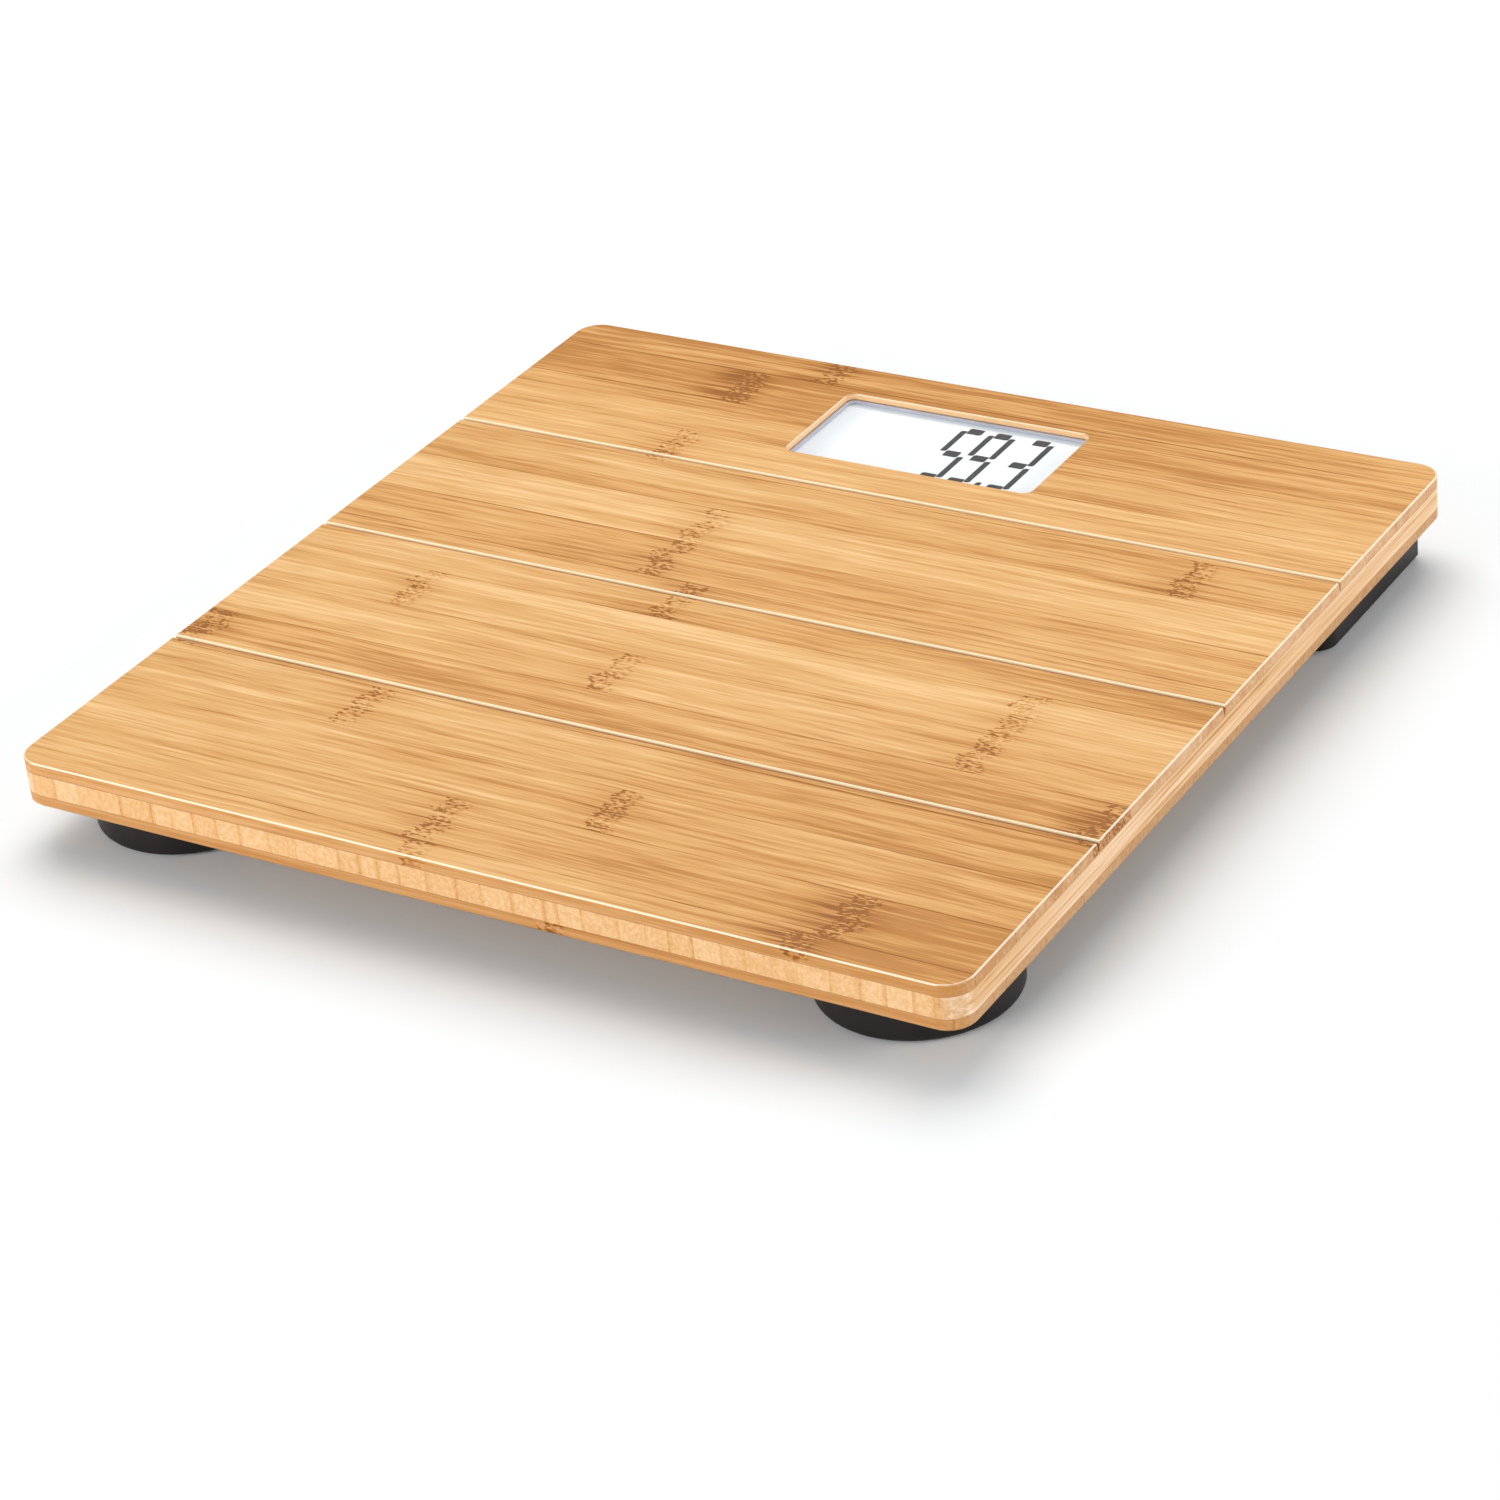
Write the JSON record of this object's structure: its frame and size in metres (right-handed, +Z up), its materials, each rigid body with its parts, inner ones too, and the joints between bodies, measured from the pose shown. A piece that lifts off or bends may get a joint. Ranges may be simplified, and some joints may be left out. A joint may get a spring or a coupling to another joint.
{
  "type": "digital bathroom scale",
  "caption": "Square digital bathroom scale: grooved bamboo platform with a recessed display window, on round front feet and a wide rear housing that holds the electronics.",
  "frame": {"origin": "on the floor under the middle of the square platform", "axes": "+Z up from the floor, +Y towards the rear edge where the display is, +X to the standing user's right"},
  "size_m": [0.302, 0.302, 0.028],
  "materials": {
    "bamboo": "clear matt lacquer",
    "bamboo_core": "clear matt lacquer on end grain",
    "foam": "closed-cell foam",
    "white_plastic": "fine moulded",
    "clear_plastic": "clear polished",
    "lcd_glass": "smooth polarising film",
    "reflector": "satin foil",
    "conductive_rubber": "striped elastomer",
    "circuit_board": "solder mask",
    "component_black": "moulded epoxy",
    "screw_steel": "zinc plated",
    "black_plastic": "fine spark-eroded texture",
    "grey_plastic": "satin",
    "battery_steel": "brushed",
    "contact_brass": "plated",
    "wire_insulation": "satin PVC",
    "load_cell_steel": "stamped and nickel plated",
    "gauge_film": "potting compound over foil",
    "rubber_pad": "moulded elastomer"
  },
  "bodies": {
    "platform": {"platform_top_ply": "bamboo", "platform_core_ply": "bamboo_core", "platform_bottom_ply": "bamboo", "display_gasket": "foam", "display_bezel": "white_plastic", "display_lens": "clear_plastic", "lcd_panel": "lcd_glass", "lcd_reflector": "reflector", "zebra_connectors": "conductive_rubber", "circuit_board": "circuit_board", "pcb_components": "component_black", "unit_switch_body": "component_black", "pcb_screws": "screw_steel", "rear_housing": "black_plastic", "housing_screws": "screw_steel", "foot_screws": "screw_steel", "load_cell_screws": "screw_steel", "battery_cell": "battery_steel", "battery_contact_negative": "contact_brass", "battery_contact_positive": "contact_brass", "battery_leads": "wire_insulation", "front_left_foot_base": "black_plastic", "front_right_foot_base": "black_plastic", "left_wire_cover": "black_plastic", "right_wire_cover": "black_plastic", "front_left_load_cell": "load_cell_steel", "front_left_strain_gauge": "gauge_film", "front_left_wires": "wire_insulation", "front_right_load_cell": "load_cell_steel", "front_right_strain_gauge": "gauge_film", "front_right_wires": "wire_insulation", "rear_left_load_cell": "load_cell_steel", "rear_left_strain_gauge": "gauge_film", "rear_left_wires": "wire_insulation", "rear_right_load_cell": "load_cell_steel", "rear_right_strain_gauge": "gauge_film", "rear_right_wires": "wire_insulation"},
    "battery_door": {"battery_door": "black_plastic"},
    "unit_button": {"unit_button": "grey_plastic", "unit_switch_plunger": "grey_plastic"},
    "front_left_foot": {"front_left_foot_cap": "black_plastic", "front_left_foot_pad": "rubber_pad"},
    "front_right_foot": {"front_right_foot_cap": "black_plastic", "front_right_foot_pad": "rubber_pad"},
    "rear_left_foot": {"rear_left_foot_cap": "black_plastic", "rear_left_foot_pad": "rubber_pad"},
    "rear_right_foot": {"rear_right_foot_cap": "black_plastic", "rear_right_foot_pad": "rubber_pad"}
  },
  "joints": [
    {"name": "front_left_foot_press", "type": "slide", "parent": "platform", "child": "front_left_foot", "axis": [0, 0, 1], "range_m": [0, 0.0004], "stiffness_N_per_m": 10000, "springref_m": -0.0006, "deforming": ["front_left_load_cell"]},
    {"name": "front_right_foot_press", "type": "slide", "parent": "platform", "child": "front_right_foot", "axis": [0, 0, 1], "range_m": [0, 0.0004], "stiffness_N_per_m": 10000, "springref_m": -0.0006, "deforming": ["front_right_load_cell"]},
    {"name": "rear_left_foot_press", "type": "slide", "parent": "platform", "child": "rear_left_foot", "axis": [0, 0, 1], "range_m": [0, 0.0004], "stiffness_N_per_m": 10000, "springref_m": -0.0006, "deforming": ["rear_left_load_cell"]},
    {"name": "rear_right_foot_press", "type": "slide", "parent": "platform", "child": "rear_right_foot", "axis": [0, 0, 1], "range_m": [0, 0.0004], "stiffness_N_per_m": 10000, "springref_m": -0.0006, "deforming": ["rear_right_load_cell"]},
    {"name": "unit_button_press", "type": "slide", "parent": "platform", "child": "unit_button", "axis": [0, 0, 1], "range_m": [0, 0.0005], "stiffness_N_per_m": 3000},
    {"name": "battery_door_hinge", "type": "hinge", "parent": "platform", "child": "battery_door", "pos_m": [0.022, 0.1, 0.0027], "axis": [-1, 0, 0], "range_deg": [0, 90]}
  ]
}
